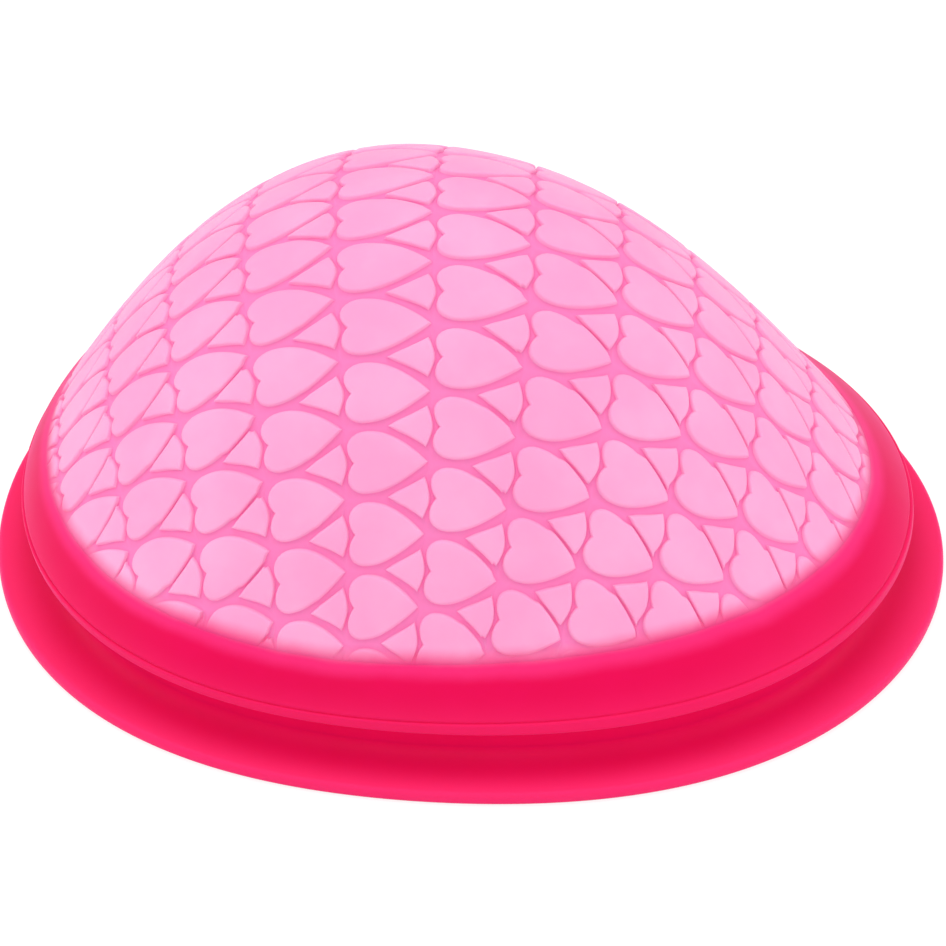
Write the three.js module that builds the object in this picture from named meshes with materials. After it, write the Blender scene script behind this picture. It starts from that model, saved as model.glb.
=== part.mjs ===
// A soft silicone disc with a film bowl, lying mouth down.
//
// Sizes are millimetres, +Z is up and z = 0 is the flat underside of the base flange. +X is the long
// direction; the tips of the film's heart-shaped pads point about 11 degrees to one side of it. The
// disc is the same on both sides of the XZ plane. The origin is the middle of its footprint.
//
// Four solids are stacked between level planes, from the bottom: the base flange, the ring neck, the
// upper ring and the bowl film. They meet flat face to face.

import * as THREE from 'three';

// --- driving sizes -----------------------------------------------------------------------------

const FLANGE_RADIUS = 37.5;      // mean outside radius of the base flange
const FLANGE_HEIGHT = 3.0;       // from the resting face to the plane under the neck
const FLANGE_EDGE = 1.15;        // thickness of the flange at its outer edge
const FLANGE_EDGE_ROUND = 0.3;   // rounding of that edge
const FLANGE_FACE_WIDTH = 4.6;   // width of the flat resting face
const NECK_SETBACK = 4.2;        // from the flange's outer edge in to the waist
const NECK_HEIGHT = 1.6;         // height of the waist, which is the floor of the groove
const NECK_WALL = 2.4;           // radial thickness of the waist
const NECK_HOLLOW = 0.25;        // how far the waist curves in at mid height
const RING_HEIGHT = 5.4;         // height of the upper ring
const LIP_OVERHANG = 1.8;        // how far the upper ring's lip stands out past the waist
const LIP_HEIGHT = 1.0;          // height of the lip's upright outer face
const LIP_DROP = 0.7;            // rise of the lip's underside from the waist to the lip
const LIP_STEP = 0.25;           // width of the fine step above the lip
const SHOULDER_RUN = 3.1;        // from the lip in to the edge of the film
const SHOULDER_BULGE = 0.12;     // how far the shoulder swells past a straight slope
const HEM_WALL = 1.6;            // radial thickness of the film's hem where it stands on the ring
const FILM_WALL = 0.5;           // thickness of the film at the crown
const BOWL_RISE = 25.2;          // from the top of the upper ring to the crown
const CROWN_SETBACK = 6.36;      // how far the crown lies behind the flange's own centre

// Each plan outline is mean radius * (1 + oval cos 2a + egg cos 3a + square cos 4a).
const FLANGE_PLAN = { oval: 0.067, egg: 0.016, square: -0.0095, setback: 0 };
const FILM_PLAN = { oval: 0.074, egg: 0.031, square: 0, setback: 1.42 };

// The bowl's height over its hem is rise * (1 - share ^ fullness) ^ flare along each radius.
const BOWL_FULLNESS = 2.364;
const BOWL_FLARE = 1.079;
const BOWL_LEAN = 0.053;         // how much fuller the bowl is towards +X at half radius

// --- how finely the curved faces are divided -----------------------------------------------------

const AROUND = 64;
const CURVE_STEPS = 4;
const BOWL_STEPS = 12;

// --- sizes worked out from the above -------------------------------------------------------------

const NECK_RADIUS = FLANGE_RADIUS - NECK_SETBACK;
const BORE_RADIUS = NECK_RADIUS - NECK_WALL;
const LIP_RADIUS = NECK_RADIUS + LIP_OVERHANG;
const FILM_RADIUS = LIP_RADIUS - SHOULDER_RUN;
const NECK_Z = FLANGE_HEIGHT;
const RING_Z = NECK_Z + NECK_HEIGHT;
const FILM_Z = RING_Z + RING_HEIGHT;

// The egg term pushes the whole outline towards +X by this much, so the disc is moved back by it.
const CENTRING = FLANGE_RADIUS * FLANGE_PLAN.egg;

// --- plan outlines -------------------------------------------------------------------------------

/** Mean radius to real radius at one angle, for one plan outline. */
function outlineShare(plan, angle) {
  const { oval, egg, square } = plan;
  return 1 + oval * Math.cos(2 * angle) + egg * Math.cos(3 * angle) + square * Math.cos(4 * angle);
}

/** The plan outline at a height: the flange's up to the ring, then turning into the film's. */
function planAt(z) {
  const blend = THREE.MathUtils.clamp((z - RING_Z) / RING_HEIGHT, 0, 1);
  const mix = (name) => THREE.MathUtils.lerp(FLANGE_PLAN[name], FILM_PLAN[name], blend);
  return { oval: mix('oval'), egg: mix('egg'), square: mix('square'), setback: mix('setback') };
}

/** Where a point of a round ring goes on the oval disc. */
function placeOnRing(radius, angle, z) {
  const plan = planAt(z);
  const reach = radius * outlineShare(plan, angle);
  const x = reach * Math.cos(angle) - plan.setback - CENTRING;
  return new THREE.Vector3(x, reach * Math.sin(angle), z);
}

/** Where a point of a round dome goes: each radius runs straight in plan from the crown to the hem. */
function placeOnBowl(radius, angle, z) {
  const share = Math.min(radius / FILM_RADIUS, 1);
  const reach = FILM_RADIUS * outlineShare(FILM_PLAN, angle);
  const crownX = -CROWN_SETBACK;
  const hemX = reach * Math.cos(angle) - FILM_PLAN.setback;
  const x = THREE.MathUtils.lerp(crownX, hemX, share) - CENTRING;
  const lean = 1 + 4 * BOWL_LEAN * Math.cos(angle) * share * (1 - share);
  return new THREE.Vector3(x, share * reach * Math.sin(angle), FILM_Z + (z - FILM_Z) * lean);
}

/** Turns a profile about +Z, then moves every vertex by the given placing function. */
function turnProfile(profile, place) {
  const geometry = new THREE.LatheGeometry(profile, AROUND);
  geometry.rotateX(Math.PI / 2);
  const position = geometry.getAttribute('position');
  for (let i = 0; i < position.count; i += 1) {
    const radius = Math.hypot(position.getX(i), position.getY(i));
    const angle = Math.atan2(position.getY(i), position.getX(i));
    const placed = place(radius, angle, position.getZ(i));
    position.setXYZ(i, placed.x, placed.y, placed.z);
  }
  geometry.computeVertexNormals();
  return geometry;
}

// --- the pieces ----------------------------------------------------------------------------------

/** Resting lip: flat underneath, rounded at its edge, and coved up to the waist on top. */
function baseFlange() {
  const edgeTop = FLANGE_RADIUS - FLANGE_EDGE_ROUND;
  const faceInner = FLANGE_RADIUS - FLANGE_EDGE_ROUND - FLANGE_FACE_WIDTH;
  const section = new THREE.Path();
  section.moveTo(BORE_RADIUS, NECK_Z);
  section.quadraticCurveTo(BORE_RADIUS, 0, faceInner, 0);
  section.lineTo(edgeTop, 0);
  section.quadraticCurveTo(FLANGE_RADIUS, 0, FLANGE_RADIUS, FLANGE_EDGE / 2);
  section.quadraticCurveTo(FLANGE_RADIUS, FLANGE_EDGE, edgeTop, FLANGE_EDGE);
  section.quadraticCurveTo(NECK_RADIUS, FLANGE_EDGE, NECK_RADIUS, NECK_Z);
  section.lineTo(BORE_RADIUS, NECK_Z);
  return turnProfile(section.getPoints(CURVE_STEPS), placeOnRing);
}

/** Waist between the flange and the upper ring: the floor of the groove. */
function ringNeck() {
  const section = new THREE.Path();
  section.moveTo(BORE_RADIUS, NECK_Z);
  section.lineTo(NECK_RADIUS, NECK_Z);
  section.quadraticCurveTo(NECK_RADIUS - 2 * NECK_HOLLOW, NECK_Z + NECK_HEIGHT / 2, NECK_RADIUS, RING_Z);
  section.lineTo(BORE_RADIUS, RING_Z);
  section.lineTo(BORE_RADIUS, NECK_Z);
  return turnProfile(section.getPoints(CURVE_STEPS), placeOnRing);
}

/** Thick elastic ring: an overhanging lip, a fine step, and a swelling shoulder up to the film. */
function upperRing() {
  const lipBottom = RING_Z + LIP_DROP;
  const lipTop = lipBottom + LIP_HEIGHT;
  const stepRadius = LIP_RADIUS - LIP_STEP;
  const midRadius = (stepRadius + FILM_RADIUS) / 2 + 2 * SHOULDER_BULGE;
  const midZ = (lipTop + FILM_Z) / 2 + 2 * SHOULDER_BULGE;
  const section = new THREE.Path();
  section.moveTo(BORE_RADIUS, RING_Z);
  section.lineTo(NECK_RADIUS, RING_Z);
  section.lineTo(LIP_RADIUS, lipBottom);
  section.lineTo(LIP_RADIUS, lipTop);
  section.lineTo(stepRadius, lipTop);
  section.quadraticCurveTo(midRadius, midZ, FILM_RADIUS, FILM_Z);
  section.lineTo(FILM_RADIUS - HEM_WALL, FILM_Z);
  section.lineTo(BORE_RADIUS, RING_Z);
  return turnProfile(section.getPoints(CURVE_STEPS), placeOnRing);
}

/** One face of the bowl as profile points, from the crown out to the given hem radius. */
function bowlFace(hemRadius, rise) {
  const points = [];
  for (let i = 0; i <= BOWL_STEPS; i += 1) {
    const share = i / BOWL_STEPS;
    const height = rise * (1 - share ** BOWL_FULLNESS) ** BOWL_FLARE;
    points.push(new THREE.Vector2(share * hemRadius, FILM_Z + height));
  }
  return points;
}

/** Thin bowl, thicker at its hem, which stands on the upper ring. */
function bowlFilm() {
  const outside = bowlFace(FILM_RADIUS, BOWL_RISE);
  const inside = bowlFace(FILM_RADIUS - HEM_WALL, BOWL_RISE - FILM_WALL);
  const section = [...inside, ...outside.reverse()];
  return turnProfile(section, placeOnBowl);
}

// --- the assembly --------------------------------------------------------------------------------

const RING_SILICONE = { color: 0xf0185e, roughness: 0.42, metalness: 0 };
const FILM_SILICONE = { color: 0xffa8d6, roughness: 0.5, metalness: 0 };

const disc = new THREE.Group();

function addPiece(name, geometry, finish) {
  const mesh = new THREE.Mesh(geometry, new THREE.MeshStandardMaterial(finish));
  mesh.name = name;
  disc.add(mesh);
}

addPiece('base_flange', baseFlange(), RING_SILICONE);
addPiece('ring_neck', ringNeck(), RING_SILICONE);
addPiece('upper_ring', upperRing(), RING_SILICONE);
addPiece('bowl_film', bowlFilm(), FILM_SILICONE);

export default disc;
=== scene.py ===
"""A soft silicone disc with a film bowl, lying mouth down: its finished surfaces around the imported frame.

The disc is a thick elastic ring (base flange, neck and upper ring) that carries a thin bowl. The film of the
bowl is divided into soft heart-shaped pads by narrow grooves. Lengths are millimetres until a mesh is made.
"""

import logging
from dataclasses import dataclass, field
from enum import Enum

import bmesh
import bpy
import numpy as np
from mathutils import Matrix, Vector


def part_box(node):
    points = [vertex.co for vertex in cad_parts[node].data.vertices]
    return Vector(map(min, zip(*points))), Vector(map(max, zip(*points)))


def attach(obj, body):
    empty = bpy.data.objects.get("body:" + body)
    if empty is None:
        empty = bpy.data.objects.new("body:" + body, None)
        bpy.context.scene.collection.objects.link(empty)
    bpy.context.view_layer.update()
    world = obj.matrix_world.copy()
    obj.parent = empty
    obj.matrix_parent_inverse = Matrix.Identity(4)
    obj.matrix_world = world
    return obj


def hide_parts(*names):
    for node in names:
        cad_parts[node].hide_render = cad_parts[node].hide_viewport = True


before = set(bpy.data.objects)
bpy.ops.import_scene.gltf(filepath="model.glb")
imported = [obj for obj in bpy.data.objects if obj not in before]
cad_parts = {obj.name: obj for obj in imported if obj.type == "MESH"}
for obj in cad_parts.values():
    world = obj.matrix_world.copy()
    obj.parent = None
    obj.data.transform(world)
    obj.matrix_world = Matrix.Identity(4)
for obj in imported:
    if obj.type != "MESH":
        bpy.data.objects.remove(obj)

LOG = logging.getLogger("disc")
MM = 0.001
BODY = "root"
CORNER = np.radians(50.0)  # faces that meet more sharply than this keep a hard edge
Points = np.ndarray
Colour = tuple[float, float, float, float]


class Slot(Enum):
    """Material slots of the record that the pieces take their finish from."""

    RING = "ring_silicone"
    FILM = "film_silicone"


class Node(Enum):
    """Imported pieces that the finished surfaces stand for."""

    FLANGE = "base_flange"
    NECK = "ring_neck"
    UPPER = "upper_ring"
    FILM = "bowl_film"


class Side(Enum):
    """Which way a contour lies from a pad's edge: over the pad, or out to the middle of the groove."""

    PAD = "pad"
    GROOVE = "groove"


class Trait(Enum):
    """Values kept on the vertices: all but the relief are for the finishes to read."""

    RELIEF = "relief"
    GROOVE = "groove"
    # Share of the painted shade line at the foot of each pad's wall.
    SHADE_LINE = "pad_shade_line"
    REACH = "hem_reach"
    # Share of the painted glow of light through the ring's thin outer edges.
    THIN_GLOW = "thin_edge_glow"


# --- small surface tools ---------------------------------------------------------------------------


def smooth_step(value: Points) -> Points:
    """Value held to 0..1, eased as 3 v^2 - 2 v^3."""
    held = np.clip(value, 0.0, 1.0)
    return held * held * (3.0 - 2.0 * held)


def bezier(points: list[tuple[float, float]], steps: int) -> Points:
    """A Bezier curve of any degree, by repeated halfway mixing of its control points.

    Args:
        points: Control points, the first and last of which lie on the curve.
        steps: How many equal steps of the parameter to take.

    Returns:
        steps + 1 points along the curve.
    """
    share = np.linspace(0.0, 1.0, steps + 1)[:, None]
    level = [np.broadcast_to(np.array(p, float), (steps + 1, 2)) for p in points]
    while len(level) > 1:
        level = [a + (b - a) * share for a, b in zip(level, level[1:])]
    return level[0]


def even_steps(path: Points, steps: int, scale: Points) -> Points:
    """Points at equal distances along a path.

    Args:
        path: Points of the path.
        steps: How many equal steps to divide it into.
        scale: Length of one unit along each axis.

    Returns:
        steps + 1 points, the ends included.
    """
    lengths = np.hypot(*(np.diff(path, axis=0) * scale).T)
    run = np.concatenate([[0.0], np.cumsum(lengths)])
    wanted = np.linspace(0.0, run[-1], steps + 1)
    return np.stack([np.interp(wanted, run, path[:, 0]), np.interp(wanted, run, path[:, 1])], axis=-1)


def closed_quads(rows: int, columns: int) -> Points:
    """Faces of a grid that closes on itself both ways, as row * columns + column indices."""
    row, column = np.meshgrid(np.arange(rows), np.arange(columns), indexing="ij")
    next_row, next_column = (row + 1) % rows, (column + 1) % columns
    corners = [row * columns + column, row * columns + next_column]
    corners += [next_row * columns + next_column, next_row * columns + column]
    return np.stack(corners, axis=-1).reshape(-1, 4)


def add_traits(mesh: bpy.types.Mesh, traits: dict[Trait, Points]) -> None:
    """Keeps a value of each trait on every vertex."""
    for trait, values in traits.items():
        layer = mesh.attributes.new(trait.value, "FLOAT", "POINT")
        layer.data.foreach_set("value", np.ascontiguousarray(values, np.float32))


def read_rows(items: bpy.types.bpy_prop_collection, name: str, width: int, kind: type) -> Points:
    """One property of all the items, as an array with a row of the given width for each item."""
    values = np.empty(len(items) * width, kind)
    items.foreach_get(name, values)
    return values.reshape(-1, width)


def make_mesh(name: str, points: Points, faces: list, traits: dict[Trait, Points]) -> bpy.types.Object:
    """A smooth-shaded mesh object at the origin, with its points given in millimetres.

    Args:
        name: Name of the piece.
        points: Vertex places.
        faces: Vertex indices of each face, pointing outwards.
        traits: Values for each vertex.

    Returns:
        The new object, linked to the scene.
    """
    mesh = bpy.data.meshes.new(name)
    mesh.from_pydata(points * MM, [], faces)
    add_traits(mesh, traits)
    mesh.shade_smooth()
    mesh.set_sharp_from_angle(angle=CORNER)
    piece = bpy.data.objects.new(name, mesh)
    bpy.context.scene.collection.objects.link(piece)
    return piece


# --- the plan outlines and the frame's sizes ---------------------------------------------------------


@dataclass(frozen=True)
class Outline:
    """A plan outline, moved back by setback: mean radius * (1 + oval cos 2a + egg cos 3a + square cos 4a)."""

    oval: float
    egg: float
    square: float
    setback: float

    def share(self, angle: Points) -> Points:
        """Real radius over mean radius at each angle."""
        waves = self.oval * np.cos(2 * angle) + self.egg * np.cos(3 * angle)
        return 1.0 + waves + self.square * np.cos(4 * angle)

    def mean_radius(self, length: float) -> float:
        """Mean radius of an outline whose whole length along X is known."""
        return length / 2.0 / (1.0 + self.oval + self.square)


FLANGE_OUTLINE = Outline(oval=0.067, egg=0.016, square=-0.0095, setback=0.0)
FILM_OUTLINE = Outline(oval=0.074, egg=0.031, square=0.0, setback=1.42)


@dataclass(frozen=True)
class FrameSizes:
    """Levels and radii in millimetres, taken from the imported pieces' own boxes."""

    flange_radius: float
    neck_z: float
    ring_z: float
    film_z: float
    crown_z: float
    film_radius: float
    centring: float

    @classmethod
    def from_frame(cls) -> "FrameSizes":
        """Reads the levels where pieces meet, and the outer radii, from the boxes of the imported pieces."""
        low, high = (np.array(corner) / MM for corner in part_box(Node.FLANGE.value))
        film_low, film_high = (np.array(corner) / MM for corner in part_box(Node.FILM.value))
        flange_radius = FLANGE_OUTLINE.mean_radius(high[0] - low[0])
        return cls(
            flange_radius=flange_radius,
            neck_z=high[2],
            ring_z=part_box(Node.UPPER.value)[0].z / MM,
            film_z=film_low[2],
            crown_z=film_high[2],
            film_radius=FILM_OUTLINE.mean_radius(film_high[0] - film_low[0]),
            centring=flange_radius * FLANGE_OUTLINE.egg,
        )


# --- the elastic ring --------------------------------------------------------------------------------


class Profile:
    """A closed cross-section, drawn as (radius, height) points in order round the piece."""

    def __init__(self, radius: float, height: float) -> None:
        """Starts at one point of the section."""
        self.parts: list[Points] = [np.array([[radius, height]])]

    def end(self) -> tuple[float, float]:
        """The last point drawn."""
        return tuple(self.parts[-1][-1])

    def line(self, radius: float, height: float, steps: int) -> None:
        """Draws a straight stretch in equal steps."""
        self.bend((radius, height), steps=steps)

    def bend(self, *points: tuple[float, float], steps: int) -> None:
        """Draws a Bezier stretch to its last point, pulled by the points before it."""
        self.parts.append(bezier([self.end(), *points], steps)[1:])

    def points(self) -> Points:
        """The section's points, with the last one left out where it closes on the first."""
        path = np.concatenate(self.parts)
        return path[:-1] if np.allclose(path[0], path[-1]) else path


@dataclass
class ElasticRing:
    """The thick ring: base flange, neck and upper ring, each turned round the same oval plan."""

    sizes: FrameSizes
    around: int = 400
    edge_thickness: float = 1.15
    edge_round: float = 0.42
    face_width: float = 4.6
    neck_setback: float = 4.2
    neck_wall: float = 2.4
    lip_overhang: float = 1.8
    lip_height: float = 1.0
    lip_drop: float = 0.7
    lip_round: float = 0.28
    step_width: float = 0.25
    step_depth: float = 0.07
    shoulder_bulge: float = 0.12
    hem_wall: float = 1.6
    cove_sink: float = 0.15
    back_bulge: float = 0.4
    thin_glow_run: float = 3.6
    lip_extra: float = 2.0
    neck_radius: float = field(init=False)
    bore_radius: float = field(init=False)

    def __post_init__(self) -> None:
        """Works out the radii that follow from the flange."""
        self.neck_radius = self.sizes.flange_radius - self.neck_setback
        self.bore_radius = self.neck_radius - self.neck_wall

    def outline_at(self, height: Points, angle: Points) -> tuple[Points, Points]:
        """Share of the mean radius, and setback, at each height and angle.

        The flange's outline holds up to the upper ring, then turns evenly into the film's.
        """
        mix = np.clip((height - self.sizes.ring_z) / (self.sizes.film_z - self.sizes.ring_z), 0.0, 1.0)
        share = FLANGE_OUTLINE.share(angle) * (1.0 - mix) + FILM_OUTLINE.share(angle) * mix
        return share, FLANGE_OUTLINE.setback * (1.0 - mix) + FILM_OUTLINE.setback * mix

    def turn(self, name: str, profile: Profile, thin_at: float) -> bpy.types.Object:
        """Turns a section round the oval plan.

        Each point goes to radius * share(angle, height) along its angle, less the setback and the centring.

        Args:
            name: Name of the piece.
            profile: Its closed section, drawn anticlockwise with the radius to the right.
            thin_at: Radius at which the silicone counts as thin; it thickens evenly inwards from there.

        Returns:
            The mesh object, with its distance below the film and its thinness, which sets a painted glow at
            the thin edges, kept on each vertex.
        """
        section = profile.points()
        radius, height = section[:, :1], section[:, 1:]
        angle = np.linspace(0.0, 2.0 * np.pi, self.around, endpoint=False)[None, :]
        share, setback = self.outline_at(height, angle)
        reach = radius * share
        x = reach * np.cos(angle) - setback - self.sizes.centring
        y = reach * np.sin(angle)
        z = np.broadcast_to(height, x.shape)
        points = np.stack([x, y, z], axis=-1).reshape(-1, 3)
        down = -np.hypot(radius - self.sizes.film_radius, height - self.sizes.film_z)
        # Painted glow: lighter where the silicone is thin, as if light shone through it.
        thin = smooth_step(1.0 - (thin_at - radius) / self.thin_glow_run)
        values = {Trait.REACH: down, Trait.THIN_GLOW: thin}
        traits = {trait: np.broadcast_to(value, x.shape).reshape(-1) for trait, value in values.items()}
        return make_mesh(name, points, closed_quads(len(section), self.around).tolist(), traits)

    def build_flange(self) -> bpy.types.Object:
        """The flared lip: flat underneath, rounded at its edge, coved up to the neck on top."""
        outer, thick, soft = self.sizes.flange_radius, self.edge_thickness, self.edge_round
        face_inner = outer - self.edge_round - self.face_width
        shoulder = outer - soft
        section = Profile(self.bore_radius, self.sizes.neck_z)
        section.bend((self.bore_radius, 0.0), (face_inner, 0.0), steps=14)
        section.line(shoulder, 0.0, steps=10)
        section.bend((outer, 0.0), (outer, thick / 2.0), steps=6)
        section.bend((outer, thick), (shoulder, thick), steps=6)
        section.bend((self.neck_radius, thick), (self.neck_radius, self.sizes.neck_z), steps=22)
        section.line(self.bore_radius, self.sizes.neck_z, steps=4)
        return self.turn("ring_flange", section, outer)

    def build_neck(self) -> bpy.types.Object:
        """The upright waist, which runs on smoothly from the flange's cove into the one under the lip."""
        low, high = self.sizes.neck_z, self.sizes.ring_z
        section = Profile(self.bore_radius, low)
        section.line(self.neck_radius, low, steps=4)
        section.line(self.neck_radius, high, steps=6)
        section.line(self.bore_radius, high, steps=4)
        section.line(self.bore_radius, low, steps=6)
        return self.turn("ring_waist", section, self.sizes.flange_radius)

    def build_upper(self) -> bpy.types.Object:
        """The bead: overhanging lip, fine parting step, swelling shoulder, and a ledge for the film."""
        sizes, soft = self.sizes, self.lip_round
        lip = self.neck_radius + self.lip_overhang
        low = sizes.ring_z + self.lip_drop
        high = low + self.lip_height
        step = lip - self.step_width
        swell = 2.0 * self.shoulder_bulge
        middle = ((step + sizes.film_radius) / 2.0 + swell, (high + sizes.film_z) / 2.0 + swell)
        ledge = sizes.film_radius - self.hem_wall
        section = Profile(self.bore_radius, sizes.ring_z)
        section.line(self.neck_radius, sizes.ring_z, steps=4)
        section.bend((self.neck_radius, low - self.cove_sink), (lip - soft * 1.6, low - soft * 0.4), steps=12)
        section.bend((lip, low + soft * 0.1), (lip, low + soft * 1.4), steps=7)
        section.line(lip, high - soft * 0.9, steps=2)
        section.bend((lip, high), (lip - soft * 0.7, high), steps=6)
        section.bend((step, high), (step - self.step_depth, high + 0.02), steps=3)
        section.bend((step - 0.01, high + 0.05), (step - 0.03, high + 0.22), steps=3)
        section.bend(middle, (sizes.film_radius, sizes.film_z), steps=30)
        section.line(ledge, sizes.film_z, steps=3)
        back = (ledge + self.back_bulge, (sizes.ring_z + sizes.film_z) / 2.0)
        section.bend(back, (self.bore_radius, sizes.ring_z), steps=12)
        return self.turn("ring_bead", section, lip + self.lip_extra)


# --- the bowl's form -------------------------------------------------------------------------------


@dataclass(frozen=True)
class Dome:
    """The bowl's smooth form: every radius runs straight in plan from the crown out to the hem.

    A place on it is an angle about the plan's middle and a share of the way from crown to hem. Its height
    over the hem is rise * (1 - share ^ fullness) ^ flare, made a little fuller towards +X.
    """

    hem_radius: float
    hem_z: float
    rise: float
    centring: float
    crown_setback: float = 6.36
    fullness: float = 2.31
    flare: float = 1.079
    lean: float = 0.053

    def place(self, angle: Points, share: Points) -> Points:
        """Places on the bowl, by the class's formula, in millimetres."""
        reach = self.hem_radius * FILM_OUTLINE.share(angle)
        hem_x = reach * np.cos(angle) - FILM_OUTLINE.setback
        x = -self.crown_setback * (1.0 - share) + hem_x * share - self.centring
        y = share * reach * np.sin(angle)
        inside = np.clip(share, 0.0, 1.0)
        lean = 1.0 + 4.0 * self.lean * np.cos(angle) * inside * (1.0 - inside)
        z = self.hem_z + self.rise * (1.0 - inside**self.fullness) ** self.flare * lean
        return np.stack([x, y, z], axis=-1)

    def heading(self, angle: Points) -> Points:
        """Compass direction from the crown to the hem, as seen in plan, for each angle of the outline."""
        reach = self.hem_radius * FILM_OUTLINE.share(angle)
        forward = reach * np.cos(angle) - FILM_OUTLINE.setback + self.crown_setback
        return np.arctan2(reach * np.sin(angle), forward)


class Unrolled:
    """The bowl laid out flat about its crown: distance along the surface, and direction in plan.

    Two tables hold the angle of the outline for each heading, and the share for each heading and distance.
    Both are read with straight interpolation between their entries.
    """

    HEADINGS = 361
    SHARES = 400
    DISTANCES = 320

    def __init__(self, dome: Dome) -> None:
        """Measures the bowl along a fan of radii."""
        self.dome = dome
        fine = np.linspace(-np.pi, np.pi, 4 * self.HEADINGS)
        self.headings = np.linspace(-np.pi, np.pi, self.HEADINGS)
        self.angles = np.interp(self.headings, dome.heading(fine), fine)
        shares = np.linspace(0.0, 1.0, self.SHARES)
        lines = dome.place(self.angles[:, None], shares[None, :])
        steps = np.linalg.norm(np.diff(lines, axis=1), axis=-1)
        runs = np.concatenate([np.zeros((self.HEADINGS, 1)), np.cumsum(steps, axis=1)], axis=1)
        self.lengths = runs[:, -1]
        even = np.linspace(0.0, 1.0, self.DISTANCES)
        self.table = np.stack([np.interp(even * run[-1], run, shares) for run in runs])

    def angle_and_share(self, flat: Points) -> tuple[Points, Points, Points]:
        """Finds flat places on the bowl.

        Args:
            flat: Places on the unrolled bowl, in millimetres from the crown.

        Returns:
            The outline angle, the share (past 1 beyond the hem), and the distance left to the hem.
        """
        distance = np.hypot(flat[:, 0], flat[:, 1])
        heading = np.arctan2(flat[:, 1], flat[:, 0])
        angle = np.interp(heading, self.headings, self.angles)
        length = np.interp(heading, self.headings, self.lengths)
        row = (heading + np.pi) / (2.0 * np.pi) * (self.HEADINGS - 1)
        column = np.clip(distance / length, 0.0, 1.0) * (self.DISTANCES - 1)
        first_row = np.clip(row.astype(int), 0, self.HEADINGS - 2)
        first = np.clip(column.astype(int), 0, self.DISTANCES - 2)
        turned, along = row - first_row, column - first
        near, far = (
            self.table[at, first] * (1.0 - along) + self.table[at, first + 1] * along
            for at in (first_row, first_row + 1)
        )
        beyond = np.maximum(distance - length, 0.0) / self.dome.hem_radius
        return angle, near * (1.0 - turned) + far * turned + beyond, length - distance

    def place(self, flat: Points) -> Points:
        """Places on the bowl for flat places."""
        angle, share, _ = self.angle_and_share(flat)
        return self.dome.place(angle, share)

    def outward(self, flat: Points, nudge: float = 0.2) -> Points:
        """Outward directions, from the cross product of small steps along the flat layout's two axes."""
        along = self.place(flat + [nudge, 0.0]) - self.place(flat - [nudge, 0.0])
        across = self.place(flat + [0.0, nudge]) - self.place(flat - [0.0, nudge])
        normal = np.cross(along, across)
        return normal / np.maximum(np.linalg.norm(normal, axis=-1, keepdims=True), 1e-12)


# --- the heart pattern -----------------------------------------------------------------------------


@dataclass(frozen=True)
class Tile:
    """One pad of the pattern, in lattice units: a closed line down the middle of its groove, and its edge.

    Seen from above, with +Y up, slant is 1 beside a groove that falls towards +X, -1 beside one that rises
    towards it, and 0 elsewhere.
    """

    middle: Points
    edge: Points
    slant: Points
    centre: tuple[float, float]


@dataclass(frozen=True)
class Contour:
    """One closed line of vertices round a pad.

    Its place is a share of the way from the pad's edge to the pad's centre or the groove's middle, plus a
    distance in millimetres the same way. Its height is measured from the bowl's smooth form. Groove and edge
    say how much of the groove's colour it takes, and how much of the fine dark line of painted shade at the
    foot of the pad's wall.
    """

    side: Side
    share: float
    distance: float
    height: float
    groove: float
    edge: float


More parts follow.
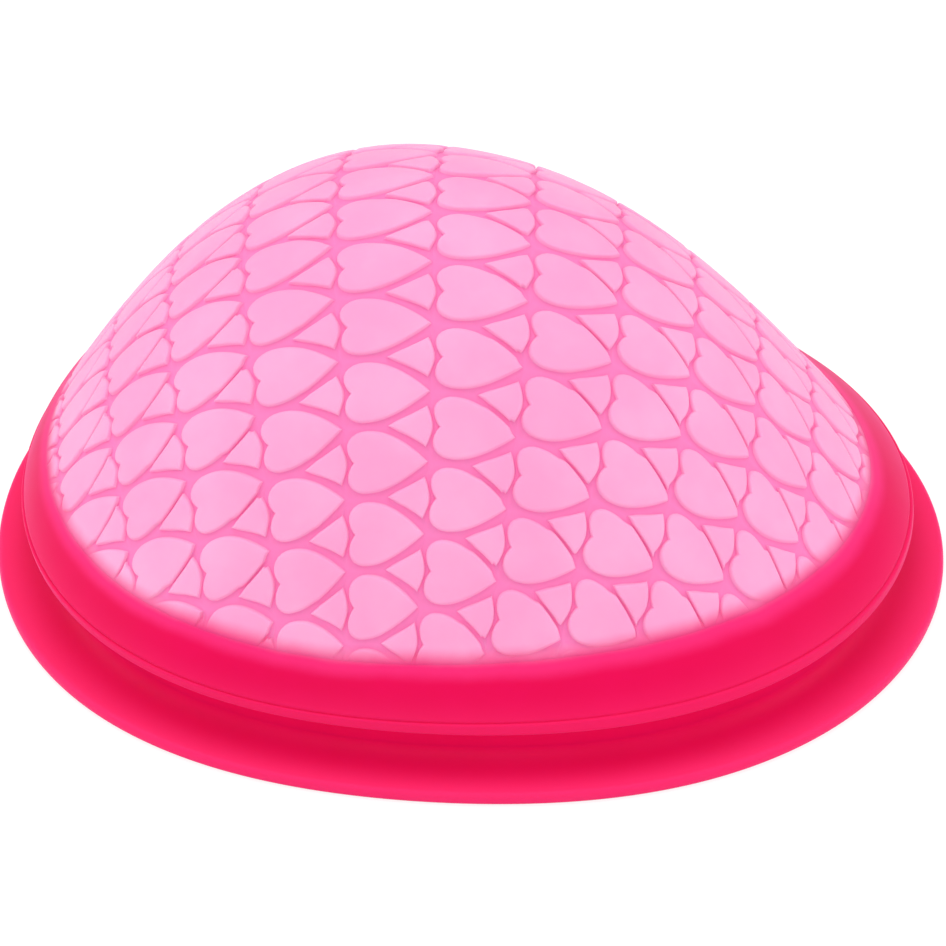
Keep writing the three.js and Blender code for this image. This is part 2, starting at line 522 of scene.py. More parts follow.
@dataclass(frozen=True)
class HeartLattice:
    """Rows of hearts on the unrolled bowl, whose tips point along the columns.

    The lattice is one unit by half a unit. Its places hold a heart and a small three-cornered gusset by turns
    along each column and each row. The pattern is turned a little from the long direction, and eases out of
    square away from the crown: it is the shape of a flat net moulded on a dome.
    """

    column: float = 8.32
    row: float = 5.252
    first_column: float = 0.571
    first_row: float = 0.447
    turn: float = 0.185
    column_drift: float = -0.023
    column_squeeze: float = -0.017
    column_taper: float = -0.04
    column_bow: float = 0.114
    column_sway: float = 0.085
    row_drift: float = -0.059
    row_curl: float = -0.023
    row_spread: float = 0.032
    easing: float = 30.0
    pinch_most: float = 0.6
    pinch_start: float = 3.0
    pinch_run: float = 12.0
    pinch_rear: float = 0.7
    rear_start: float = 12.0
    along_row: int = 6
    along_flank: int = 10
    along_lobes: int = 6

    def scale(self) -> Points:
        """Millimetres for one lattice unit each way."""
        return np.array([self.column, self.row])

    def flatten(self, lattice: Points) -> Points:
        """Lattice places to the unrolled bowl.

        With p and q the distances from the crown along a column step and a row step, over the easing length
        for every power past the first: x is p (1 + drift p + squeeze p^2 + taper q^2) + q (bow q + sway q^2),
        and y is q (1 + drift q + spread p^2) + curl p^3.
        """
        p = self.column * (lattice[:, 0] - self.first_column)
        q = -self.row * (lattice[:, 1] - self.first_row)
        pe, qe = p / self.easing, q / self.easing
        x = p * (1.0 + self.column_drift * pe + self.column_squeeze * pe**2 + self.column_taper * qe**2)
        x += q * (self.column_bow * qe + self.column_sway * qe**2)
        y = q * (1.0 + self.row_drift * qe + self.row_spread * pe**2) + p * self.row_curl * pe**2
        cos, sin = np.cos(self.turn), np.sin(self.turn)
        return np.stack([x * cos - y * sin, x * sin + y * cos], axis=-1)

    def _lobe_groove(self, steps: int) -> Points:
        """Middle of the wavy groove behind a heart's lobes, from half a row below the heart to half above."""
        across = np.linspace(-0.5, 0.5, steps + 1)
        along = 0.044 + 0.0265 * np.cos(2 * np.pi * across) + 0.0225 * np.cos(4 * np.pi * across)
        return np.stack([along, across], axis=-1)

    def _flank_groove(self, steps: int) -> Points:
        """Middle of the groove along a heart's upper flank, from the fork to the tip."""
        line = bezier([(0.5, 0.5), (0.72, 0.34), (0.98, 0.18), (1.04, 0.0)], 4 * steps)
        return even_steps(line, steps, self.scale())

    def heart(self) -> Tile:
        """A heart with its tip at (1, 0): notch, round lobe (a quarter ellipse), long flank to the tip."""
        scale = self.scale()
        lobe = np.linspace(np.pi, np.pi / 2.0, 17)
        round_lobe = np.stack([0.28 + 0.215 * np.cos(lobe), 0.21 + 0.22 * np.sin(lobe)], axis=-1)
        notch = bezier([(0.14, 0.0), (0.10, 0.05), (0.065, 0.12), (0.065, 0.21)], 12)
        flank = bezier([(0.28, 0.43), (0.55, 0.43), (0.80, 0.20), (1.0, 0.0)], 40)
        fork, corner = 11, 8
        to_lobe = even_steps(np.concatenate([notch, round_lobe[1 : corner + 1]]), self.along_lobes, scale)
        over_lobe = np.concatenate([round_lobe[corner:], flank[1 : fork + 1]])
        to_fork = even_steps(over_lobe, self.along_row, scale)
        to_tip = even_steps(flank[fork:], self.along_flank, scale)
        upper_edge = np.concatenate([to_lobe[:-1], to_fork[:-1], to_tip])
        lobes = self._lobe_groove(2 * self.along_lobes)[self.along_lobes :]
        row = np.linspace(lobes[-1], [0.5, 0.5], self.along_row + 1)
        upper_middle = np.concatenate([lobes[:-1], row[:-1], self._flank_groove(self.along_flank)])
        level = np.zeros(self.along_lobes + self.along_row)
        slant = np.concatenate([level, -self._flank_slant()])
        return self._whole(upper_middle, upper_edge, slant, (0.47, 0.0))

    def gusset(self) -> Tile:
        """The three-cornered pad between two tips and the next heart's notch, seen from half a row up."""
        scale = self.scale()
        side = bezier([(0.55, 0.0), (0.78, 0.130), (0.975, 0.276)], 20)
        side = even_steps(side, self.along_flank, scale)
        cap = bezier([(0.975, 0.276), (1.015, 0.20), (1.045, 0.11), (1.045, 0.0)], 20)
        cap = even_steps(cap, self.along_lobes, scale)
        upper_edge = np.concatenate([side[:-1], cap])
        flank = self._flank_groove(self.along_flank) * [1.0, -1.0] + [0.0, 0.5]
        lobes = self._lobe_groove(2 * self.along_lobes)[: self.along_lobes - 1 : -1] + [1.0, 0.0]
        upper_middle = np.concatenate([flank[:-1], lobes])
        slant = np.concatenate([self._flank_slant()[:-1], np.zeros(self.along_lobes + 1)])
        return self._whole(upper_middle, upper_edge, slant, (0.88, 0.0))

    def _flank_slant(self) -> Points:
        """Slant along a flank: rising from 0 at the fork, 1 along its middle, and 0 again at the tip."""
        here = np.arange(self.along_flank + 1)
        return np.clip(here / 3.0, 0.0, 1.0) * np.clip((self.along_flank - here) / 2.0, 0.0, 1.0)

    def pinch(self, lattice: Points, slant: Points) -> Points:
        """Share by which a groove closes.

        Slanting grooves close where they run steeply down the bowl's ends, and a little less over its rear.
        """
        along = self.column * (lattice[:, 0] - self.first_column)
        back = self.row * (self.first_row - lattice[:, 1])
        ends = smooth_step((slant * along - self.pinch_start) / self.pinch_run)
        rear = self.pinch_rear * np.abs(slant) * smooth_step((back + self.rear_start) / self.pinch_run)
        return self.pinch_most * np.maximum(ends, rear)

    @staticmethod
    def _whole(middle: Points, edge: Points, slant: Points, centre: tuple[float, float]) -> Tile:
        """A tile from its upper half, whose first and last points lie on the mirror line."""
        lines = [np.concatenate([upper, upper[-2:0:-1] * [1.0, -1.0]]) for upper in (middle, edge)]
        return Tile(*lines, np.concatenate([slant, -slant[-2:0:-1]]), centre)


PAD_TOP = 0.10

# Each contour's side, share, distance, height, groove and edge (share of the painted shade line), from the
# pad out to the groove.
PAD_CONTOURS = (
    Contour(Side.PAD, 0.45, 0.0, PAD_TOP, 0.0, 0.0),
    Contour(Side.PAD, 0.0, 0.26, 0.09, 0.0, 0.0),
    Contour(Side.PAD, 0.0, 0.08, 0.06, 0.0, 0.0),
    Contour(Side.GROOVE, 0.0, 0.01, -0.02, 0.0, 0.0),
    Contour(Side.GROOVE, 0.0, 0.07, -0.19, 0.05, 0.1),
    Contour(Side.GROOVE, 0.0, 0.14, -0.26, 0.85, 0.8),
    Contour(Side.GROOVE, 1.0, 0.0, -0.29, 1.0, 0.0),
)
INSIDE_CONTOURS = (
    Contour(Side.PAD, 0.0, 0.12, 0.0, 0.0, 0.0),
    Contour(Side.GROOVE, 1.0, 0.0, 0.0, 1.0, 0.0),
)


@dataclass(frozen=True)
class Net:
    """Vertices and faces of one face of the film, in lattice units, and each vertex's way to the groove."""

    places: Points
    faces: Points
    heights: Points
    grooves: Points
    # Share of the painted shade line at each vertex.
    edges: Points
    slants: Points
    outward: Points


def lay_contours(tile: Tile, contours: tuple[Contour, ...], centre: Contour, scale: Points) -> Net:
    """One tile's vertices: its centre, then contour after contour outwards, with quads between them.

    Args:
        tile: The pad and its groove line.
        contours: The lines of vertices, from the inside out.
        centre: Height and traits of the single vertex in the middle.
        scale: Millimetres for one lattice unit each way.

    Returns:
        The tile's own small net, its first vertex the centre.
    """
    around = len(tile.edge)
    targets = {Side.PAD: np.broadcast_to(tile.centre, tile.edge.shape), Side.GROOVE: tile.middle}
    rings, outward = [], [np.zeros((1, 2))]
    for contour in contours:
        gap = targets[contour.side] - tile.edge
        length = np.maximum(np.hypot(*(gap * scale).T), 1e-6)[:, None]
        share = np.clip(contour.share + contour.distance / length, 0.0, 1.0)
        rings.append(tile.edge + gap * share)
        outward.append((tile.middle - tile.edge) * (1.0 - share))
    places = np.concatenate([[tile.centre], *rings])
    slants = np.concatenate([[0.0], *[tile.slant] * len(contours)])
    here = np.arange(around)
    after = (here + 1) % around
    fan = np.stack([np.zeros(around, int), 1 + here, 1 + after, 1 + after], axis=-1)
    starts = 1 + around * np.arange(len(contours) - 1)[:, None]
    inner, inner_after = starts + here, starts + after
    band = np.stack([inner, inner + around, inner_after + around, inner_after], axis=-1).reshape(-1, 4)
    lines = (centre, *contours)
    repeats = [1] + [around] * len(contours)
    table = [(line.height, line.groove, line.edge) for line in lines]
    traits = np.repeat(table, repeats, axis=0).T
    return Net(places, np.concatenate([fan, band]), *traits, slants, np.concatenate(outward))


@dataclass
class BowlFilm:
    """The thin bowl: an outer face of heart-shaped pads between grooves, and a smoother inner face.

    The relief grows to its full height over the fade above the hem, and the grooves' colour does so from the
    top of the plain hem. Pinched grooves take the dark line's colour, which is painted shade, by the share
    set for them. Vertices of the cut closer than the weld are joined.
    """

    sizes: FrameSizes
    lattice: HeartLattice = field(default_factory=HeartLattice)
    hem_wall: float = 1.6
    wall: float = 0.56
    lean_peak: float = 1.01339
    fade: float = 1.1
    plain_hem: float = 0.1
    pinch_shade_line: float = 1.4
    weld: float = 0.02
    cut_slack: float = 1e-5
    columns: tuple[int, int] = (-7, 9)
    half_rows: tuple[int, int] = (-26, 26)

    def dome(self, inset: float, thinner: float) -> Dome:
        """The bowl's form, drawn in by inset at the hem and lowered by thinner at the crown.

        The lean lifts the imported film's highest ring over its crown by the lean_peak share of the rise.
        """
        sizes = self.sizes
        rise = (sizes.crown_z - sizes.film_z) / self.lean_peak - thinner
        return Dome(sizes.film_radius - inset, sizes.film_z, rise, sizes.centring)

    def net(self, contours: tuple[Contour, ...], centre: Contour) -> Net:
        """Repeats the heart and the gusset over the lattice and joins the vertices that they share."""
        lattice = self.lattice
        grid = np.meshgrid(np.arange(*self.columns), np.arange(*self.half_rows))
        column, half_row = (places.reshape(-1) for places in grid)
        is_heart = (half_row % 2) != (column % 2)
        nets, start = [], 0
        for tile, chosen in ((lattice.heart(), is_heart), (lattice.gusset(), ~is_heart)):
            small = lay_contours(tile, contours, centre, lattice.scale())
            origins = np.stack([column[chosen] - 1.0, half_row[chosen] / 2.0], axis=-1)
            places = (origins[:, None, :] + small.places[None, :, :]).reshape(-1, 2)
            offsets = start + len(small.places) * np.arange(len(origins))
            faces = (offsets[:, None, None] + small.faces[None, :, :]).reshape(-1, 4)
            once = (small.heights, small.grooves, small.edges, small.slants)
            copies = [np.tile(values, len(origins)) for values in once]
            nets.append((places, faces, *copies, np.tile(small.outward, (len(origins), 1))))
            start += len(places)
        places, faces, *traits = (np.concatenate(parts) for parts in zip(*nets))
        _, first, index = np.unique(np.round(places, 6), axis=0, return_index=True, return_inverse=True)
        return Net(places[first], index.reshape(-1)[faces], *[values[first] for values in traits])

    def face(
        self, dome: Dome, contours: tuple[Contour, ...], centre: Contour
    ) -> tuple[Points, list, dict[Trait, Points], Points, Points]:
        """One face of the film, cut off along the hem.

        The net is laid out with its share as a third axis, so that one level cut at share 1 trims it.

        Args:
            dome: The form that the face follows.
            contours: The lines of vertices round each pad.
            centre: The vertex in the middle of each pad.

        Returns:
            Vertex places, faces, the traits, the hem's vertices in order round it, and their angles.
        """
        net = self.net(contours, centre)
        unrolled = Unrolled(dome)
        pinch = self.lattice.pinch(net.places, net.slants)
        flat = self.lattice.flatten(net.places + net.outward * pinch[:, None])
        # Painted shade: the dark line at the foot of each pad's wall, spread over pinched grooves.
        edges = np.maximum(net.edges, net.grooves * pinch * self.pinch_shade_line)
        _, share, _ = unrolled.angle_and_share(flat)
        kept = net.faces[(share[net.faces] < 1.0).any(axis=1)]
        used, index = np.unique(kept, return_inverse=True)
        faces = [list(dict.fromkeys(face)) for face in index.reshape(kept.shape).tolist()]
        mesh = bpy.data.meshes.new("layout")
        mesh.from_pydata(np.column_stack([flat[used], share[used]]), [], faces)
        kept_traits = {Trait.RELIEF: net.heights, Trait.GROOVE: net.grooves, Trait.SHADE_LINE: edges}
        add_traits(mesh, {trait: values[used] for trait, values in kept_traits.items()})
        self._trim(mesh)
        layout = read_rows(mesh.vertices, "co", 3, np.float32).astype(float)
        relief, groove, edge = (
            read_rows(mesh.attributes[trait.value].data, "value", 1, np.float32)[:, 0].astype(float)
            for trait in kept_traits
        )
        edge_use = np.zeros(len(mesh.edges), int)
        np.add.at(edge_use, read_rows(mesh.loops, "edge_index", 1, np.int32)[:, 0], 1)
        hem_edges = read_rows(mesh.edges, "vertices", 2, np.int32)[edge_use == 1]
        faces = [list(polygon.vertices) for polygon in mesh.polygons]
        bpy.data.meshes.remove(mesh)
        angle, _, left = unrolled.angle_and_share(layout[:, :2])
        share = layout[:, 2]
        hem = self._walk(hem_edges, angle)
        share[hem] = 1.0
        left[hem] = 0.0
        relief *= smooth_step(left / self.fade)
        points = dome.place(angle, share) + unrolled.outward(layout[:, :2]) * relief[:, None]
        points[hem] = dome.place(angle[hem], share[hem])
        clear = smooth_step((left - self.plain_hem) / self.fade)
        traits = {Trait.GROOVE: groove * clear, Trait.SHADE_LINE: edge * clear, Trait.REACH: left}
        return points, faces, traits, hem, np.maximum.accumulate(angle[hem])

    @staticmethod
    def _walk(edges: Points, angle: Points) -> Points:
        """Follows the hem from its least angle round towards greater ones.

        Args:
            edges: The two vertices of each edge of the hem.
            angle: The angle of every vertex of the face.

        Returns:
            The hem's vertices in order along its edges.
        """
        beside: dict[int, list[int]] = {}
        for one, other in edges.tolist():
            beside.setdefault(one, []).append(other)
            beside.setdefault(other, []).append(one)
        path = [min(beside, key=lambda vertex: angle[vertex])]
        path.append(min(beside[path[0]], key=lambda vertex: angle[vertex]))
        while len(path) < len(beside):
            path.append(next(vertex for vertex in beside[path[-1]] if vertex != path[-2]))
        return np.array(path)

    def _trim(self, mesh: bpy.types.Mesh) -> None:
        """Cuts the layout level at share 1, drops what lies past it, and joins points that fell together."""
        work = bmesh.new()
        work.from_mesh(mesh)
        everything = [*work.verts, *work.edges, *work.faces]
        level = {"plane_co": (0, 0, 1), "plane_no": (0, 0, 1)}
        bmesh.ops.bisect_plane(work, geom=everything, dist=self.cut_slack, clear_outer=True, **level)
        bmesh.ops.remove_doubles(work, verts=[v for v in work.verts if v.is_boundary], dist=self.weld)
        bmesh.ops.triangulate(work, faces=[f for f in work.faces if len(f.verts) > 4])
        work.to_mesh(mesh)
        work.free()

    @staticmethod
    def _bridge(outer: Points, outer_angles: Points, inner: Points, inner_angles: Points) -> list:
        """Fills the hem's underside between two closed lines of different counts.

        Every step along either line makes one triangle, with the last point of the other line before its end.

        Args:
            outer: The outer line's vertices, in order of angle.
            outer_angles: Their angles.
            inner: The inner line's vertices, in order of angle.
            inner_angles: Their angles.

        Returns:
            The triangles.
        """
        outer_next = np.roll(np.arange(len(outer)), -1)
        inner_next = np.roll(np.arange(len(inner)), -1)
        at_outer = np.searchsorted(inner_angles, outer_angles[outer_next], side="right") - 1
        at_inner = np.searchsorted(outer_angles, inner_angles[inner_next], side="left") - 1
        first = np.stack([outer, outer[outer_next], inner[at_outer]], axis=-1)
        second = np.stack([inner, outer[at_inner], inner[inner_next]], axis=-1)
        return np.concatenate([first, second])[:, ::-1].tolist()

    def build(self) -> bpy.types.Object:
        """The whole film as one closed skin: outer face, inner face and the hem's flat underside."""
        pad_centre = Contour(Side.PAD, 1.0, 0.0, PAD_TOP, 0.0, 0.0)
        inside_centre = Contour(Side.PAD, 1.0, 0.0, 0.0, 0.0, 0.0)
        outer = self.face(self.dome(0.0, 0.0), PAD_CONTOURS, pad_centre)
        inner = self.face(self.dome(self.hem_wall, self.wall), INSIDE_CONTOURS, inside_centre)
        points, faces, traits, hem, angles = outer
        inner_points, inner_faces, inner_traits, inner_hem, inner_angles = inner
        shift = len(points)
        faces += [[vertex + shift for vertex in face[::-1]] for face in inner_faces]
        faces += self._bridge(hem, angles, inner_hem + shift, inner_angles)
        traits = {trait: np.concatenate([values, inner_traits[trait]]) for trait, values in traits.items()}
        return make_mesh("heart_film", np.concatenate([points, inner_points]), faces, traits)


# --- finishes --------------------------------------------------------------------------------------


class Wiring:
    """A node tree being put together."""

    def __init__(self, tree: bpy.types.NodeTree) -> None:
        """Works on an empty tree."""
        self.tree = tree
        tree.nodes.clear()

    def add(self, kind: str, **settings: object) -> bpy.types.Node:
        """Adds a node and sets its properties."""
        node = self.tree.nodes.new(kind)
        for name, value in settings.items():
            setattr(node, name, value)
        return node

    def join(self, source: bpy.types.NodeSocket, target: bpy.types.NodeSocket) -> None:
        """Links an output to an input."""
        self.tree.links.new(source, target)

    def put(self, value: object, target: bpy.types.NodeSocket) -> None:
        """Links an output to an input, or sets the input to a plain value."""
        if isinstance(value, bpy.types.NodeSocket):
            self.join(value, target)
        else:
            target.default_value = value

    def feed(self, node: bpy.types.Node, **inputs: object) -> bpy.types.Node:
        """Sets or links a node's inputs by their names, with _ for a space."""
        for name, value in inputs.items():
            self.put(value, node.inputs[name.replace("_", " ")])
        return node

    def math(self, operation: str, *values: object) -> bpy.types.NodeSocket:
        """A Math node's result."""
        node = self.add("ShaderNodeMath", operation=operation)
        for value, socket in zip(values, node.inputs):
            self.put(value, socket)
        return node.outputs[0]

    def ramp(self, value: object, low: object, high: object) -> bpy.types.NodeSocket:
        """Eases a value from 0 at low to 1 at high."""
        node = self.add("ShaderNodeMapRange", interpolation_type="SMOOTHSTEP")
        self.feed(node, Value=value, From_Min=low, From_Max=high, To_Min=0.0, To_Max=1.0)
        return node.outputs["Result"]

    def mix(self, share: object, first: object, second: object) -> bpy.types.NodeSocket:
        """Mixes two colours by a share: the node's first, seventh and eighth inputs, and its third output."""
        node = self.add("ShaderNodeMix", data_type="RGBA", clamp_factor=True)
        for value, index in zip((share, first, second), (0, 6, 7)):
            self.put(value, node.inputs[index])
        return node.outputs[2]

    def trait(self, trait: Trait) -> bpy.types.NodeSocket:
        """A value kept on the vertices."""
        return self.add("ShaderNodeAttribute", attribute_name=trait.value).outputs["Fac"]


def new_group(
    name: str, inputs: dict[str, tuple], outputs: dict[str, str]
) -> tuple[bpy.types.NodeTree, Wiring, bpy.types.Node, bpy.types.Node]:
    """An empty shader group with named sockets.

    Args:
        name: The group's name.
        inputs: Socket type and starting value of each input.
        outputs: Socket type of each output.

    Returns:
        The group, its wiring, its input node and its output node.
    """
    tree = bpy.data.node_groups.new(name, "ShaderNodeTree")
    for label, (kind, value) in inputs.items():
        tree.interface.new_socket(label, in_out="INPUT", socket_type=kind).default_value = value
    for label, kind in outputs.items():
        tree.interface.new_socket(label, in_out="OUTPUT", socket_type=kind)
    wiring = Wiring(tree)
    return tree, wiring, wiring.add("NodeGroupInput"), wiring.add("NodeGroupOutput")


def new_material(name: str) -> tuple[bpy.types.Material, Wiring, bpy.types.Node]:
    """A new material, its wiring, and its shader, which is joined to an output."""
    material = bpy.data.materials.new(name)
    material.use_nodes = True
    w = Wiring(material.node_tree)
    shader = w.add("ShaderNodeBsdfPrincipled")
    w.join(shader.outputs["BSDF"], w.add("ShaderNodeOutputMaterial").inputs["Surface"])
    return material, w, shader


FLOAT, COLOUR = "NodeSocketFloat", "NodeSocketColor"
WHITE = (1.0, 1.0, 1.0, 1.0)


def grey(level: float) -> Colour:
    """A grey of linear light, with full alpha."""
    return (level, level, level, 1.0)


def srgb(red: int, green: int, blue: int) -> Colour:
    """A display colour of 0..255 as linear light, with full alpha."""
    share = np.array([red, green, blue]) / 255.0
    linear = np.where(share <= 0.04045, share / 12.92, ((share + 0.055) / 1.055) ** 2.4)
    return (*linear.tolist(), 1.0)


def moulded_skin_group() -> bpy.types.NodeTree:
    """Moulded silicone skin: cloudy tone, uneven gloss, and a very fine tooth left by the mould.

    Three noises on Object coordinates, coarse for the tone, middling for the gloss and fine for the tooth.
    """
    inputs = {"Cloud Size": (FLOAT, 140.0), "Tooth Size": (FLOAT, 5200.0)}
    inputs |= {"Roughness": (FLOAT, 0.4), "Gloss Spread": (FLOAT, 0.08), "Tooth": (FLOAT, 0.3)}
    outputs = {"Tone": FLOAT, "Roughness": FLOAT, "Height": FLOAT}
    tree, w, into, out = new_group("Moulded Skin", inputs, outputs)
    place = w.add("ShaderNodeTexCoord").outputs["Object"]
    cloud = w.feed(w.add("ShaderNodeTexNoise"), Vector=place, Scale=into.outputs["Cloud Size"], Detail=3.0)
    gloss_size = w.math("MULTIPLY", into.outputs["Cloud Size"], 4.5)
    gloss = w.feed(w.add("ShaderNodeTexNoise"), Vector=place, Scale=gloss_size, Detail=4.0, Distortion=0.6)
    tooth = w.feed(w.add("ShaderNodeTexNoise"), Vector=place, Scale=into.outputs["Tooth Size"], Detail=2.0)
    spread = w.math("SUBTRACT", gloss.outputs["Fac"], 0.5)
    uneven = w.math("MULTIPLY_ADD", spread, into.outputs["Gloss Spread"], into.outputs["Roughness"])
    ripple = w.math("MULTIPLY", gloss.outputs["Fac"], 0.5)
    height = w.math("MULTIPLY_ADD", tooth.outputs["Fac"], into.outputs["Tooth"], ripple)
    w.join(cloud.outputs["Fac"], out.inputs["Tone"])
    w.join(uneven, out.inputs["Roughness"])
    w.join(height, out.inputs["Height"])
    return tree


def hem_tint_group() -> bpy.types.NodeTree:
    """Colour across the hem, where the pale film runs into the strong ring.

    Reach is the distance from the joint in millimetres, up the film and negative down the ring. Wander, about
    its middle of 0.5, moves that distance by up to half the wander width. The film's colour turns into the
    glow from the film's start to its end, and the glow into the ring's colour from there to the ring's end.
    The glow is partly the real blend of the pale film into the ring and partly painted light on the bead's
    top.
    """
    inputs = {name: (COLOUR, WHITE) for name in ("Film", "Glow", "Ring")}
    inputs |= {"Reach": (FLOAT, 0.0), "Wander": (FLOAT, 0.5), "Wander Width": (FLOAT, 0.9)}
    inputs |= {"Film Start": (FLOAT, 1.5), "Film End": (FLOAT, -0.45), "Ring End": (FLOAT, -1.8)}
    tree, w, into, out = new_group("Hem Tint", inputs, {"Colour": COLOUR})
    to_side = w.math("SUBTRACT", into.outputs["Wander"], 0.5)
    reach = w.math("MULTIPLY_ADD", to_side, into.outputs["Wander Width"], into.outputs["Reach"])
    film = w.ramp(reach, into.outputs["Film End"], into.outputs["Film Start"])
    down = w.ramp(reach, into.outputs["Ring End"], into.outputs["Film End"])
    base = w.mix(down, into.outputs["Ring"], into.outputs["Glow"])
    w.join(w.mix(film, base, into.outputs["Film"]), out.inputs["Colour"])
    return tree


@dataclass(frozen=True)
class Silicone:
    """What both silicones share: their gloss, their inner scatter, and how the hem is tinted."""

    name: str
    roughness: float
    scatter: float
    gloss_spread: float = 0.08
    specular: float = 0.08
    scatter_depth: float = 1.0
    scatter_radii: tuple[float, float, float] = (1.0, 0.28, 0.42)
    tooth_strength: float = 0.12
    tooth_depth: float = 0.02
    ring: Colour = srgb(232, 0, 83)
    # Lighter pink under the film's hem: partly the real blend of film into ring, partly painted light on the
    # bead's top.
    glow: Colour = srgb(245, 42, 118)
    film: Colour = srgb(254, 161, 206)

    def start(self) -> tuple[bpy.types.Material, Wiring, bpy.types.Node, bpy.types.Node]:
        """A new material with its skin, its wiring, its shader and its skin group."""
        material, w, shader = new_material(self.name)
        w.feed(shader, Specular_IOR_Level=self.specular, Subsurface_Weight=self.scatter)
        w.feed(shader, Subsurface_Radius=self.scatter_radii, Subsurface_Scale=self.scatter_depth * MM)
        skin = w.add("ShaderNodeGroup", node_tree=bpy.data.node_groups["Moulded Skin"])
        w.feed(skin, Roughness=self.roughness, Gloss_Spread=self.gloss_spread)
        w.join(skin.outputs["Roughness"], shader.inputs["Roughness"])
        bump = w.feed(w.add("ShaderNodeBump"), Strength=self.tooth_strength, Distance=self.tooth_depth * MM)
        w.join(skin.outputs["Height"], bump.inputs["Height"])
        w.join(bump.outputs["Normal"], shader.inputs["Normal"])
        return material, w, shader, skin

    def tint_hem(
        self, w: Wiring, shader: bpy.types.Node, skin: bpy.types.Node, film: object, ring: object
    ) -> None:
        """Colours the shader across the hem, from the film's colour to the ring's."""
        hem = w.add("ShaderNodeGroup", node_tree=bpy.data.node_groups["Hem Tint"])
        w.feed(hem, Reach=w.trait(Trait.REACH), Wander=skin.outputs["Tone"])
        w.feed(hem, Film=film, Glow=self.glow, Ring=ring)
        w.join(hem.outputs["Colour"], shader.inputs["Base Color"])


@dataclass(frozen=True)
class RingSilicone(Silicone):
    """Strong pink silicone of the ring, with a lighter glow up at the film's hem (partly the real blend from
    the film, partly painted light on the bead's top) and a painted glow of light at its thin edges.
    """

    deep: Colour = srgb(221, 0, 70)
    # Painted glow of light through the thin flange edge and lip.
    thin: Colour = srgb(250, 42, 110)
    bloom: Colour = srgb(255, 124, 208)
    tone_band: tuple[float, float] = (0.25, 0.75)
    deep_share: float = 0.35
    sheen: float = 0.4
    sheen_spread: float = 0.4

    def build(self) -> bpy.types.Material:
        """The finished material."""
        material, w, shader, skin = self.start()
        tone = w.ramp(skin.outputs["Tone"], *self.tone_band)
        body = w.mix(w.math("MULTIPLY", tone, self.deep_share), self.ring, self.deep)
        # Mixes in the painted glow at the thin edges.
        body = w.mix(w.trait(Trait.THIN_GLOW), body, self.thin)
        self.tint_hem(w, shader, skin, self.film, body)
        w.feed(shader, Sheen_Weight=self.sheen, Sheen_Roughness=self.sheen_spread, Sheen_Tint=self.bloom)
        return material


@dataclass(frozen=True)
class FilmSilicone(Silicone):
    """Pale milky silicone of the film: light pads, deeper grooves, a thin dark line of painted shade at the
    foot of each pad's edge.
    """

    pad_light: Colour = srgb(255, 173, 214)
    groove: Colour = srgb(255, 134, 194)
    # Painted shade in the grooves' creases, drawn as a thin dark line.
    line: Colour = srgb(236, 110, 172)
    thin_rim: Colour = srgb(255, 214, 236)
    tone_band: tuple[float, float] = (0.3, 0.8)
    shade_line_share: float = 0.45
    sheen: float = 0.15
    sheen_spread: float = 0.35

    def build(self) -> bpy.types.Material:
        """The finished material."""
        material, w, shader, skin = self.start()
        pads = w.mix(w.ramp(skin.outputs["Tone"], *self.tone_band), self.film, self.pad_light)
        grooved = w.mix(w.trait(Trait.GROOVE), pads, self.groove)
        # Mixes in the painted shade line.
        shade_lined = w.mix(w.math("MULTIPLY", w.trait(Trait.SHADE_LINE), self.shade_line_share), grooved, self.line)
        self.tint_hem(w, shader, skin, shade_lined, self.ring)
        w.feed(shader, Sheen_Weight=self.sheen, Sheen_Roughness=self.sheen_spread, Sheen_Tint=self.thin_rim)
        return material


# --- the studio ------------------------------------------------------------------------------------


def stand(name: str, data: bpy.types.ID, place: Vector, aim: Vector) -> bpy.types.Object:
    """Stands a lamp or a camera at a place, turned to its aim."""
    holder = bpy.data.objects.new(name, data)
    holder.location = place
    holder.rotation_euler = (aim - holder.location).to_track_quat("-Z", "Y").to_euler()
    bpy.context.scene.collection.objects.link(holder)
    return holder


@dataclass(frozen=True)
class Softbox:
    """A square area lamp aimed at the disc: where it stands (m), its side (m) and its power (W)."""

    name: str
    place: tuple[float, float, float]
    side: float
    power: float

    def build(self, aim: Vector) -> None:
        """Makes the lamp."""
        lamp = bpy.data.lights.new(self.name, "AREA")
        lamp.shape = "SQUARE"
        lamp.size = self.side
        lamp.energy = self.power
        stand(self.name, lamp, Vector(self.place), aim)


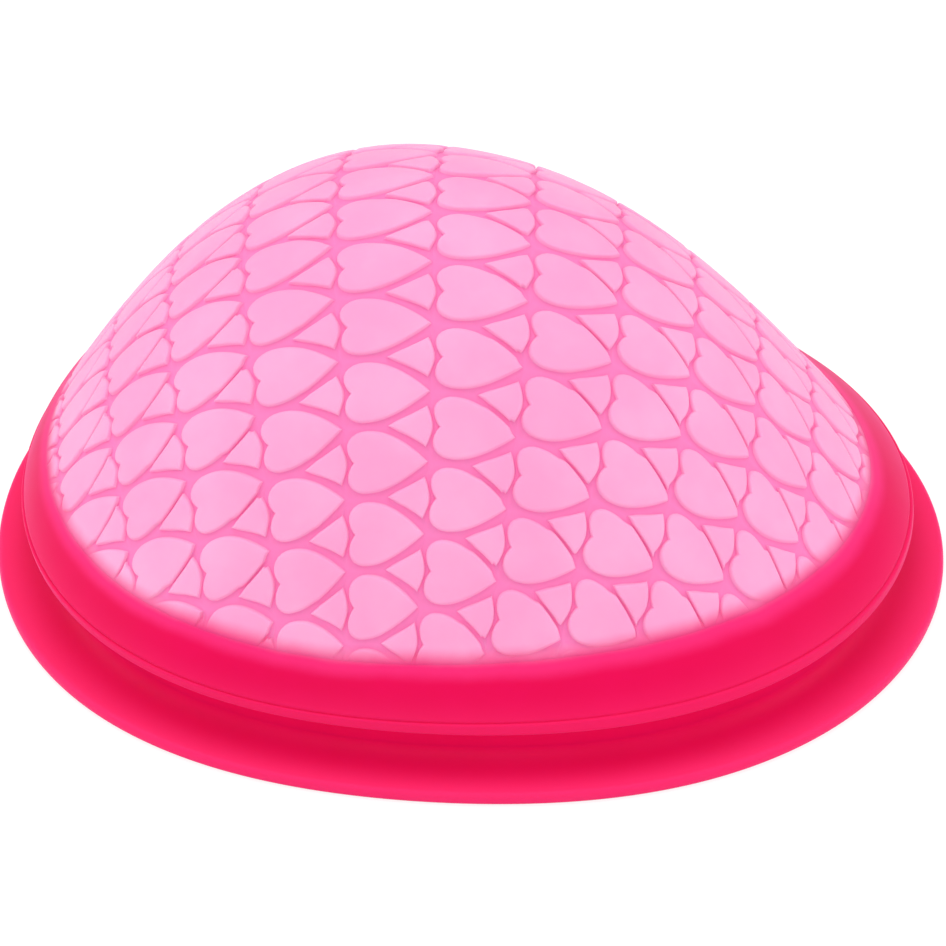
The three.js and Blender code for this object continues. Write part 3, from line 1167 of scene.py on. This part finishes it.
@dataclass
class Studio:
    """Pale floor, soft lamps and the camera. The floor's lengths are millimetres, the camera's metres."""

    aim: Vector
    elevation: float = np.radians(37.0)
    azimuth: float = np.radians(11.8)
    distance: float = 0.7
    lens: float = 313.6
    view_offset: tuple[float, float] = (-0.00194, 0.00989)
    ambient: float = 0.68
    floor_half: float = 1500.0
    floor_gap: float = 0.02
    floor_glow: float = 0.78
    floor_bounce: float = 0.30
    softboxes: tuple[Softbox, ...] = (
        Softbox("Overhead", (-0.10, 0.05, 0.75), 0.70, 2.2),
        Softbox("Left Wall", (-0.75, -0.10, 0.30), 0.55, 1.2),
        Softbox("Right Wall", (0.75, 0.05, 0.28), 0.55, 1.4),
        Softbox("Front Wall", (0.05, -0.80, 0.24), 0.55, 1.0),
    )

    def build_floor(self) -> None:
        """A wide plain floor that shows white to the camera and still takes the disc's shadow."""
        half, low = self.floor_half, -self.floor_gap
        corners = np.array([[-half, -half, low], [half, -half, low], [half, half, low], [-half, half, low]])
        floor = make_mesh("Floor", corners, [[0, 1, 2, 3]], {})
        material, w, shader = new_material("Pale Floor")
        grain = w.feed(w.add("ShaderNodeTexNoise"), Scale=60.0, Detail=3.0)
        w.join(w.add("ShaderNodeTexCoord").outputs["Object"], grain.inputs["Vector"])
        tint = w.mix(grain.outputs["Fac"], grey(0.86), grey(0.89))
        w.feed(shader, Roughness=0.9, Specular_IOR_Level=0.0)
        path = w.add("ShaderNodeLightPath")
        seen = w.math("MAXIMUM", path.outputs["Is Camera Ray"], path.outputs["Is Glossy Ray"])
        seen = w.math("MAXIMUM", seen, path.outputs["Is Transmission Ray"])
        glow = w.math("MULTIPLY", seen, self.floor_glow)
        w.feed(shader, Base_Color=w.mix(seen, tint, grey(self.floor_bounce)))
        w.feed(shader, Emission_Color=WHITE, Emission_Strength=glow)
        floor.data.materials.append(material)

    def build_world(self) -> None:
        """An even surrounding light, seen as white by the camera and in reflections."""
        world = bpy.data.worlds.new("Studio")
        bpy.context.scene.world = world
        world.use_nodes = True
        w = Wiring(world.node_tree)
        path = w.add("ShaderNodeLightPath")
        light = w.mix(path.outputs["Is Camera Ray"], grey(self.ambient), WHITE)
        background = w.feed(w.add("ShaderNodeBackground"), Color=light, Strength=1.0)
        w.join(background.outputs[0], w.add("ShaderNodeOutputWorld").inputs["Surface"])

    def build_camera(self) -> None:
        """A long lens, looking down at the disc from the front."""
        camera = bpy.data.cameras.new("Camera")
        camera.lens = self.lens
        camera.sensor_width = 36.0
        camera.clip_end = 10.0
        aim = Vector((*self.view_offset, 0.0))
        level = self.distance * np.cos(self.elevation)
        height = self.distance * np.sin(self.elevation)
        back = Vector((level * np.sin(self.azimuth), -level * np.cos(self.azimuth), height))
        bpy.context.scene.camera = stand("Camera", camera, aim + back, aim)

    def build(self) -> None:
        """Sets the stage up."""
        self.build_camera()
        self.build_floor()
        self.build_world()
        for softbox in self.softboxes:
            softbox.build(self.aim)
        bpy.context.scene.view_settings.view_transform = "Standard"


# --- putting it together ---------------------------------------------------------------------------


def fit(piece: bpy.types.Object, node: Node, slot: Slot, material: bpy.types.Material) -> None:
    """Gives a piece its finish and its place in the frame."""
    piece.data.materials.append(material)
    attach(piece, BODY)
    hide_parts(node.value)
    LOG.info("%s: %d vertices, %d faces", piece.name, len(piece.data.vertices), len(piece.data.polygons))


def main() -> None:
    """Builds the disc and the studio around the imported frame."""
    logging.basicConfig(level=logging.INFO, format="%(message)s")
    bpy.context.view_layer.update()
    sizes = FrameSizes.from_frame()
    moulded_skin_group()
    hem_tint_group()
    ring_finish = RingSilicone("Ring Silicone", roughness=0.48, scatter=0.2).build()
    film_finish = FilmSilicone("Film Silicone", roughness=0.5, scatter=0.25).build()
    ring = ElasticRing(sizes)
    fit(ring.build_flange(), Node.FLANGE, Slot.RING, ring_finish)
    fit(ring.build_neck(), Node.NECK, Slot.RING, ring_finish)
    fit(ring.build_upper(), Node.UPPER, Slot.RING, ring_finish)
    fit(BowlFilm(sizes).build(), Node.FILM, Slot.FILM, film_finish)
    Studio(aim=Vector((0.0, 0.0, sizes.film_z * MM))).build()


if __name__ == "__main__":
    main()
